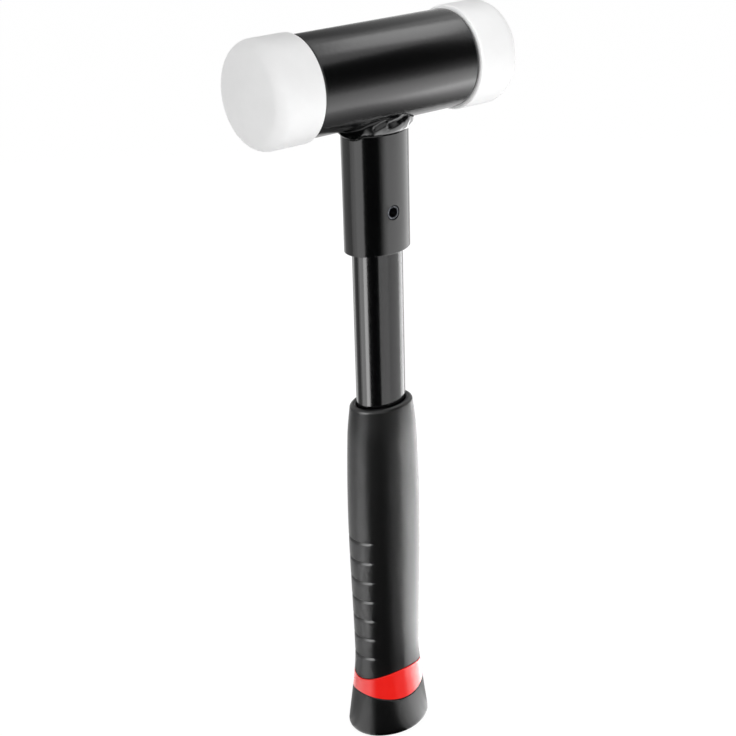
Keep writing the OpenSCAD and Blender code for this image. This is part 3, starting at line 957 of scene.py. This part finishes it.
def white_floor_paper():
    """Matt white paper that shows as white and still takes the hammer's shadow."""
    finish, tree, _ = new_finish("white_floor_paper")
    share = add(tree, "ShaderNodeMath", {0: seen_directly(tree)}, {1: PAPER_GLOW_SHARE},
                operation="MULTIPLY")
    paper = add(tree, "ShaderNodeBsdfDiffuse", values={"Color": linear("#F4F4F4")})
    glow = add(tree, "ShaderNodeEmission", values={"Color": linear("#FFFFFF"), "Strength": PAPER_GLOW})
    close_finish(tree, add(tree, "ShaderNodeMixShader", {
        0: share.outputs[0], 1: paper.outputs[0], 2: glow.outputs[0]}))
    return finish


def light_only(source, pieces):
    """Lets a lamp or a sheet light some pieces only."""
    lit = bpy.data.collections.new(source.name + "_pieces")
    for piece in pieces:
        lit.objects.link(piece)
    source.light_linking.receiver_collection = lit


def softbox(name, place, aim, width, height, radiance):
    """A soft lamp of even brightness, which reflections don't see."""
    lamp = bpy.data.lights.new(name, "AREA")
    lamp.shape = "RECTANGLE"
    lamp.size = width
    lamp.size_y = height
    lamp.energy = radiance * math.pi * width * height
    box = bpy.data.objects.new(name, lamp)
    box.location = place
    box.rotation_euler = (Vector(aim) - Vector(place)).to_track_quat("-Z", "Y").to_euler()
    box.visible_camera = False
    box.visible_glossy = False
    bpy.context.scene.collection.objects.link(box)
    return box


# Studio: sheets that only reflections see

# Heights of the sheets over the floor: the black sheet of painted dark reflection, and a layer of films
CARD_LIFT = 0.0002
FILM_LIFT = 0.0004

# Distances of the sheets' edges from the handle's axis: near ones under the butt or clear of it, and far
# ones out to the floor's edge
UNDER, CLEAR = 0.012, 0.056
SHORT, MEDIUM, EDGE = 0.52, 0.8, 3.0

# Bearings of the black sheet that paints dark reflections in place of the floor
DARK_REFLECTION_BEARINGS = (100, 380)

# Fans of films on the floor: the pieces that reflect them, their layer, their near and far edge, and stops
# of a bearing from +X in degrees and a level, which holds up to the next bearing; 0 leaves a gap
FACE_FAN = ("face", [*faces, pin], 1, UNDER, EDGE, [(100, 1.3), (270, 2.4), (380, 0)])
BUTT_FAN = ("butt", [butt], 1.25, UNDER, SHORT, [
    (100, 0.55), (150, 1.0), (170, 1.9), (203, 0.8), (211, 0), (265, 1.1), (276, 1.9), (288, 2.6),
    (300, 3.3), (325, 2.5), (345, 1.2), (385, 0)])
SLEEVE_FAN = ("sleeve", [sleeve], 1.5, CLEAR, SHORT, [
    (100, 1.0), (128, 1.3), (160, 2.55), (201, 0.7), (209, 0), (271, 0.7), (307, 4.5), (345, 3.4),
    (385, 0)])
BAND_FAN = ("band", [core], 1.75, UNDER, SHORT, [
    (95, 1.6), (140, 2.8), (203, 1.2), (216, 0), (270, 0.4), (300, 2.5), (320, 5.5), (375, 0)])
TUBE_FAN = ("tube", [tube], 2, CLEAR, EDGE, [
    (95, 2.5), (112, 1.5), (124, 0.58), (160, 2.1), (172, 3.9), (208, 8.5), (231, 0), (268, 1.9),
    (300, 1.5), (350, 3.9), (378, 0)])
SOCKET_FAN = ("socket", [socket], 2.5, CLEAR, EDGE, [
    (100, 0.62), (160, 1.3), (172, 1.6), (186, 2.1), (227, 0), (271, 0.35), (277, 0.95), (283, 1.5),
    (289, 1.95), (350, 2.1), (378, 0)])
WELD_FANS = [
    ("near_weld", [weld], 3, CLEAR, SHORT, [(258, 1.2), (280, 1.9), (305, 0)]),
    ("middle_weld", [weld], 3, CLEAR, MEDIUM, [(305, 2.8), (330, 0)]),
    ("far_weld", [weld], 3, CLEAR, EDGE, [(330, 2.6), (400, 0)])]

# The head's two films: their layer, left edge, common edge and back edge
HEAD_LAYER = 4
HEAD_FILMS_LEFT = -1
HEAD_FILMS_SPLIT = -0.235
HEAD_FILMS_BACK = 0.1

# Levels that change over a sheet: stops of a place along Y and a level, then the two places along X between
# which a first factor goes over into a second one
HEAD_FRONT_GLOW = ([(-0.75, 1.7), (-0.587, 1.9), (-0.4, 2.35), (-0.28, 2.7), (HEAD_FILMS_SPLIT, 2.7)],
                   (0.25, 0.4), (1.0, 1.05))
# The head's under film is dimmer at its left and fades towards its back edge: painted shade on the head's
# underside, darkest at its left beside the socket
HEAD_UNDER_GLOW = ([(HEAD_FILMS_SPLIT, 2.4), (-0.19, 1.75), (-0.128, 1.15), (-0.072, 0.6), (0.05, 0.15)],
                   (0.205, 0.305), (0.6, 2.6))
BACK_WALL_GLOW = ([(0.3, 0.36), (0.95, 0.36)], (0.42, 0.66), (0.5, 1.6))

# Highest level that the stops hold
MOST_GLOW = 4

# The corners of the leaning back sheet, which glows and which only reflections see
BACK_WALL = [(0.83, 0.52, 0.39), (0.42, 0.9, 0.39), (0.28, 0.61, 1.04), (0.57, 0.35, 1.04)]

# The dark side's two upright edges, its foot and its top, then how high, how fast and how bright the
# painted glow fades up it from its foot
DARK_SIDE_EDGES = [(0.2, -1.25), (1.08, -0.6)]
DARK_SIDE_FOOT, DARK_SIDE_TOP = 0.01, 1.32
FADE_TOP = 0.5
FADE_POWER = 2.6
FADE_LEVEL = 1.2

# The glowing card whose reflection paints bright lines in the finger notches, a painted highlight:
# bearings, distance, foot, top and level
NOTCH_CARD_BEARINGS = (176, 222)
NOTCH_CARD_REACH = 0.9
NOTCH_CARD_FOOT, NOTCH_CARD_TOP = 0.12, 0.68
NOTCH_CARD_LEVEL = 7.5


def at_bearing(bearing, reach):
    """Place at a bearing from +X in degrees and a distance from the handle's axis."""
    angle = math.radians(bearing)
    return reach * math.cos(angle), reach * math.sin(angle)


def floor_sector(start, end, near, far, lift):
    """Corners of a sheet over the floor, between two bearings and two distances."""
    bearings = steps_between(start, end, ARC_STEPS)
    outline = [(bearing, near) for bearing in bearings] + [(bearing, far) for bearing in reversed(bearings)]
    return [(*at_bearing(bearing, reach), lift) for bearing, reach in outline]


def floor_oblong(left, right, front, back, lift):
    """Corners of an oblong sheet over the floor."""
    return [(left, front, lift), (right, front, lift), (right, back, lift), (left, back, lift)]


def upright(first, last, foot, top):
    """Corners of an upright sheet between two places on the floor."""
    return [(*first, foot), (*last, foot), (*last, top), (*first, top)]


def hide_from_all_but_gloss(sheet):
    """Leaves a sheet in reflections only."""
    sheet.visible_camera = False
    sheet.visible_diffuse = False
    sheet.visible_shadow = False


def shade_by_place(tree, place, levels, between, factors):
    """Shader output for a sheet's level, from its stops along Y and its factors along X."""
    first, last = levels[0][0], levels[-1][0]
    spot = add(tree, "ShaderNodeSeparateXYZ", {"Vector": place})
    across = add(tree, "ShaderNodeMapRange", {"Value": spot.outputs["Y"]},
                 {"From Min": first, "From Max": last})
    ramp = add(tree, "ShaderNodeValToRGB", {"Fac": across.outputs["Result"]})
    stops = ramp.color_ramp.elements
    ready = len(stops)
    for number, (y, level) in enumerate(levels):
        share = (y - first) / (last - first)
        stop = stops[number] if number < ready else stops.new(share)
        stop.position = share
        stop.color = [level / MOST_GLOW] * 3 + [1]
    along = add(tree, "ShaderNodeMapRange", {"Value": spot.outputs["X"]},
                {"From Min": between[0], "From Max": between[1],
                 "To Min": MOST_GLOW * factors[0], "To Max": MOST_GLOW * factors[1]})
    return add(tree, "ShaderNodeMath", {0: ramp.outputs["Color"], 1: along.outputs["Result"]},
               operation="MULTIPLY").outputs[0]


def glow_film(name, corners, pieces, level=0, glow=None):
    """A clear sheet whose glow, even or changing over the sheet, only some pieces' reflections see."""
    finish, tree, place = new_finish(name + "_film")
    shade = {"Strength": shade_by_place(tree, place, *glow)} if glow else None
    clear = add(tree, "ShaderNodeBsdfTransparent")
    shine = add(tree, "ShaderNodeEmission", shade, {"Strength": level})
    close_finish(tree, add(tree, "ShaderNodeAddShader", {0: clear.outputs[0], 1: shine.outputs[0]}))
    sheet = stage_sheet(name, corners, finish)
    hide_from_all_but_gloss(sheet)
    light_only(sheet, pieces)


def fan_of_films(name, pieces, layer, near, far, stops):
    """Films on the floor for some pieces, side by side from bearing to bearing."""
    for (start, level), (end, _) in zip(stops, stops[1:]):
        if level:
            corners = floor_sector(start, end, near, far, layer * FILM_LIFT)
            glow_film("%s_film_%d" % (name, start), corners, pieces, level)


def painted_dark_reflection_sheet():
    """A black sheet over the floor that only reflections see: a painted dark reflection, which keeps the
    white floor out of them.
    """
    finish, tree, _ = new_finish("painted_dark_reflection_sheet")
    close_finish(tree, add(tree, "ShaderNodeEmission", values={"Strength": 0}))
    corners = floor_sector(*DARK_REFLECTION_BEARINGS, UNDER, EDGE, CARD_LIFT)
    hide_from_all_but_gloss(stage_sheet("painted_dark_reflection_sheet", corners, finish))


def glowing_back_reflection_sheet():
    """A glowing grey sheet behind the hammer that only reflections see, brighter towards +X: a painted
    reflection on the head's upper side.
    """
    finish, tree, place = new_finish("painted_back_reflection")
    shade = shade_by_place(tree, place, *BACK_WALL_GLOW)
    close_finish(tree, add(tree, "ShaderNodeEmission", {"Strength": shade}))
    hide_from_all_but_gloss(stage_sheet("glowing_back_reflection_sheet", BACK_WALL, finish))


def dark_side_reflection_sheet():
    """An upright black sheet at the right front that only reflections see: a painted dark reflection, with
    a painted glow fading up from its foot.
    """
    finish, tree, place = new_finish("painted_dark_side_reflection")
    spot = add(tree, "ShaderNodeSeparateXYZ", {"Vector": place})
    below = add(tree, "ShaderNodeMapRange", {"Value": spot.outputs["Z"]},
                {"From Min": 0, "From Max": FADE_TOP, "To Min": 1, "To Max": 0})
    fading = add(tree, "ShaderNodeMath", {0: below.outputs["Result"]}, {1: FADE_POWER}, operation="POWER")
    level = add(tree, "ShaderNodeMath", {0: fading.outputs[0]}, {1: FADE_LEVEL}, operation="MULTIPLY")
    close_finish(tree, add(tree, "ShaderNodeEmission", {"Strength": level.outputs[0]}))
    corners = upright(*DARK_SIDE_EDGES, DARK_SIDE_FOOT, DARK_SIDE_TOP)
    hide_from_all_but_gloss(stage_sheet("dark_side_reflection_sheet", corners, finish))


def head_films():
    """The two films on the floor that the head's lower side reflects."""
    lift = HEAD_LAYER * FILM_LIFT
    front = floor_oblong(HEAD_FILMS_LEFT, EDGE, -EDGE, HEAD_FILMS_SPLIT, lift)
    under = floor_oblong(HEAD_FILMS_LEFT, EDGE, HEAD_FILMS_SPLIT, HEAD_FILMS_BACK, lift)
    glow_film("head_front_film", front, [head], glow=HEAD_FRONT_GLOW)
    # The under film paints shade on the head's underside, darkest at its left beside the socket
    glow_film("head_under_film", under, [head], glow=HEAD_UNDER_GLOW)


def notch_card():
    """The upright glowing film that the lower slopes of the finger notches reflect, as a painted highlight.
    """
    ends = [at_bearing(bearing, NOTCH_CARD_REACH) for bearing in NOTCH_CARD_BEARINGS]
    corners = upright(*ends, NOTCH_CARD_FOOT, NOTCH_CARD_TOP)
    glow_film("notch_card", corners, [sleeve], NOTCH_CARD_LEVEL)


light_world()
stage_sheet("white_floor", floor_oblong(-EDGE, EDGE, -EDGE, EDGE, 0), white_floor_paper())
painted_dark_reflection_sheet()
for fan in (FACE_FAN, BUTT_FAN, SLEEVE_FAN):
    fan_of_films(*fan)
notch_card()
for fan in (BAND_FAN, TUBE_FAN, SOCKET_FAN, *WELD_FANS):
    fan_of_films(*fan)
head_films()
dark_side_reflection_sheet()
glowing_back_reflection_sheet()
softbox(*TOP_LAMP).visible_glossy = True
for lamp in ROOM_LAMPS:
    softbox(*lamp)
for lamp in RIGHT_FACE_LAMPS:
    light_only(softbox(*lamp), faces[1:])


# Camera

CAMERA_PLACE = Vector((-355.9, -445.1, HEAD_H + 125.3))
CAMERA_YAW = math.radians(38.15)
CAMERA_PITCH = math.radians(23.19)
CAMERA_ROLL = math.radians(-1.6)
CAMERA_LENS = 75.8


def set_camera():
    """The photograph's view, looking down on the hammer from its left front."""
    ahead = Vector((math.sin(CAMERA_YAW) * math.cos(CAMERA_PITCH),
                    math.cos(CAMERA_YAW) * math.cos(CAMERA_PITCH), -math.sin(CAMERA_PITCH)))
    level = Vector((math.cos(CAMERA_YAW), -math.sin(CAMERA_YAW), 0))
    above = level.cross(ahead)
    right = math.cos(CAMERA_ROLL) * level + math.sin(CAMERA_ROLL) * above
    up = math.cos(CAMERA_ROLL) * above - math.sin(CAMERA_ROLL) * level
    lens = bpy.data.cameras.new("camera")
    lens.lens = CAMERA_LENS
    camera = bpy.data.objects.new("camera", lens)
    turned = Matrix((right, up, -ahead)).transposed().to_4x4()
    camera.matrix_world = Matrix.Translation(CAMERA_PLACE * MM) @ turned
    bpy.context.scene.collection.objects.link(camera)
    bpy.context.scene.camera = camera


set_camera()
bpy.context.scene.view_settings.view_transform = "Standard"
